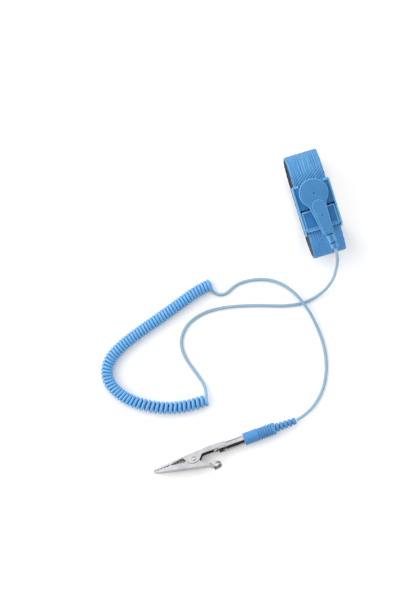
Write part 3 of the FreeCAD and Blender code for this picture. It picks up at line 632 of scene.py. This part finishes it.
def dress_all():
    dress(moulded("clasp_plastic", CLASP_COLOUR, 0.42, 5200.0, 0.0005, 1.0, WALL_TOP_HIGHLIGHT), "clasp_base")
    dress(moulded("lever_plastic", LEVER_COLOUR, 0.40, 5200.0, 0.0003, 0.5, LEVER_RIM_HIGHLIGHT), "lock_lever")
    dress(moulded("moulded_vinyl", CONNECTOR_COLOUR, 0.48, 3600.0, 0.0004, 0.55),
          "connector_shell", "snap_strain_relief")
    dress(moulded("grip_vinyl", GRIP_COLOUR, 0.46, 3600.0, 0.00025), "plug_grip", "plug_strain_relief")
    dress(metal("clip_steel", (0.39, 0.385, 0.40), 0.11, stain=(0.72, 0.71, 0.72)),
          "clip_upper_jaw", "clip_lower_jaw", "pivot_rivet", "clip_spring")
    dress(metal("stainless", (0.66, 0.67, 0.68), 0.28, brushed=0.9, stain=(0.8, 0.8, 0.8)),
          "contact_plate")
    dress(metal("plated_steel", (0.74, 0.74, 0.75), 0.2, stain=(0.7, 0.7, 0.7)),
          "lever_pin", "snap_stud", "stud_rivet", "socket_ring", "snap_socket")
    dress(metal("nickel_brass", (0.42, 0.415, 0.41), 0.2, stain=(0.7, 0.69, 0.68)),
          "banana_pin", "banana_spring", "terminal_tab", "lead_crimp", "plug_crimp")
    dress(metal("copper_wire", (0.80, 0.45, 0.28), 0.25, stain=(0.8, 0.7, 0.6)),
          "resistor_leads", "conductor_ends")
    dress(lacquer("resistor_lacquer", LACQUER_COLOUR, RESISTOR_RINGS), "resistor_body")


# ---------------------------------------------------------------- studio

def make_floor():
    data = bpy.data.meshes.new("floor")
    far = FLOOR_REACH
    corners = [(-far, -far, 0), (far, -far, 0), (far, far, 0), (-far, far, 0)]
    data.from_pydata(corners, [], [(0, 1, 2, 3)])
    floor = bpy.data.objects.new("floor", data)
    bpy.context.scene.collection.objects.link(floor)
    data.materials.append(pale_floor())


def make_sky(up, left):
    """The bright wall shines on everything, and polished metal mirrors the dark card."""
    world = bpy.data.worlds.new("studio")
    bpy.context.scene.world = world
    world.use_nodes = True
    tree = world.node_tree
    towards = add(tree, "ShaderNodeTexCoord").outputs["Generated"]

    def share(direction):
        return add(tree, "ShaderNodeVectorMath", {0: towards, 1: tuple(direction)},
                   operation="DOT_PRODUCT").outputs["Value"]

    lit_from = (left * 0.75 + up * 0.45 + HIGH * 0.35).normalized()
    wall = ramp(tree, share(lit_from), 0.25, 0.95, 0.0, WALL_LIGHT)
    turn = math.radians(CARD_TURN)
    below = share(-up * math.cos(turn) - left * math.sin(turn))
    beside = share(left * math.cos(turn) - up * math.sin(turn))
    narrow = ramp(tree, maths(tree, "ABSOLUTE", beside), 0.24, 0.40, 1.0, 0.0)
    card = maths(tree, "MULTIPLY", ramp(tree, below, 0.0, 0.10), narrow)
    open_sky = maths(tree, "SUBTRACT", 1.0, maths(tree, "MULTIPLY", card, CARD_DARKNESS))
    strength = maths(tree, "MULTIPLY", maths(tree, "ADD", wall, SKY_LIGHT), open_sky)
    background = tree.nodes["Background"]
    background.inputs["Color"].default_value = (1.0, 1.0, 1.0, 1.0)
    tree.links.new(strength, background.inputs["Strength"])


def make_lamp(up, left):
    lamp = bpy.data.lights.new("soft_box", "AREA")
    lamp.shape = "RECTANGLE"
    lamp.size, lamp.size_y = LAMP_SIZE
    lamp.energy = LAMP_POWER
    box = bpy.data.objects.new("soft_box", lamp)
    lit_from = (left * 0.75 + up * 0.2 + HIGH * 0.65).normalized()
    box.location = Vector(LAMP_AIM) + lit_from * LAMP_DISTANCE
    box.rotation_mode = "QUATERNION"
    box.rotation_quaternion = lit_from.to_track_quat("Z", "Y")
    bpy.context.scene.collection.objects.link(box)


def make_studio():
    """Floor and lights, set out by the picture's own up and left."""
    turn = math.radians(CAMERA_TURN)
    up = Vector((-math.sin(turn), math.cos(turn), 0))
    left = Vector((-math.cos(turn), -math.sin(turn), 0))
    make_floor()
    make_sky(up, left)
    make_lamp(up, left)


def make_camera():
    data = bpy.data.cameras.new("camera")
    data.lens = CAMERA_LENS
    data.sensor_width = 36.0
    data.clip_start = 0.01
    camera = bpy.data.objects.new("camera", data)
    camera.location = CAMERA_PLACE
    camera.rotation_euler = (0, 0, math.radians(CAMERA_TURN))
    bpy.context.scene.collection.objects.link(camera)
    bpy.context.scene.camera = camera


bpy.context.scene.view_settings.view_transform = "Standard"
make_camera()
make_studio()
make_cord()
make_straps()
dress_all()
